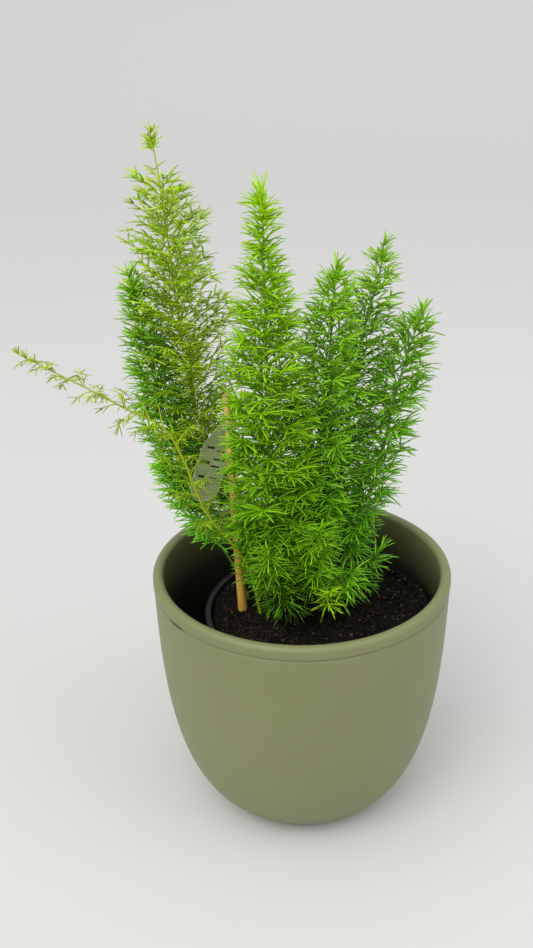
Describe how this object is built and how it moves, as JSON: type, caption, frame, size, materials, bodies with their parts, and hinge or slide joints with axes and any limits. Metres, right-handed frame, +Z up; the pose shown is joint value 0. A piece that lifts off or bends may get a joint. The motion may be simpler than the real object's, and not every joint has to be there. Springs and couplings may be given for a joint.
{
  "type": "potted asparagus fern",
  "caption": "Young foxtail fern with feathery needle-leaved stems, growing in a nursery pot inside a round sage green ceramic cachepot, with a support cane and a blank tag.",
  "frame": {"origin": "centre of the cachepot's flat underside", "axes": "+Z up along the cachepot's axis, +X to the right as seen from the front, and -Y towards the viewer"},
  "size_m": [0.202, 0.15, 0.338],
  "materials": {
    "sage_ceramic": "matte",
    "black_plastic": "matte",
    "potting_mix": "matte",
    "cane_wood": "matte",
    "label_plastic": "satin",
    "foliage_yellow_green": "satin",
    "foliage_bright_green": "satin",
    "foliage_mid_green": "satin",
    "foliage_dark_green": "satin",
    "foliage_lime": "satin"
  },
  "bodies": {
    "root": {"cachepot": "sage_ceramic", "nursery_pot": "black_plastic", "soil": "potting_mix", "cane": "cane_wood", "plant_label": "label_plastic", "frond_tall_back": "foliage_yellow_green", "frond_arching": "foliage_yellow_green", "frond_centre": "foliage_bright_green", "shoot_front_left": "foliage_bright_green", "shoot_front_centre": "foliage_bright_green", "frond_right_inner": "foliage_mid_green", "frond_right_tall": "foliage_mid_green", "shoot_front_low": "foliage_mid_green", "shoot_front_right": "foliage_mid_green", "frond_dark_left": "foliage_dark_green", "frond_dark_low": "foliage_dark_green", "frond_right_outer": "foliage_dark_green", "shoot_right_low": "foliage_dark_green", "shoot_lime": "foliage_lime"}
  },
  "joints": []
}
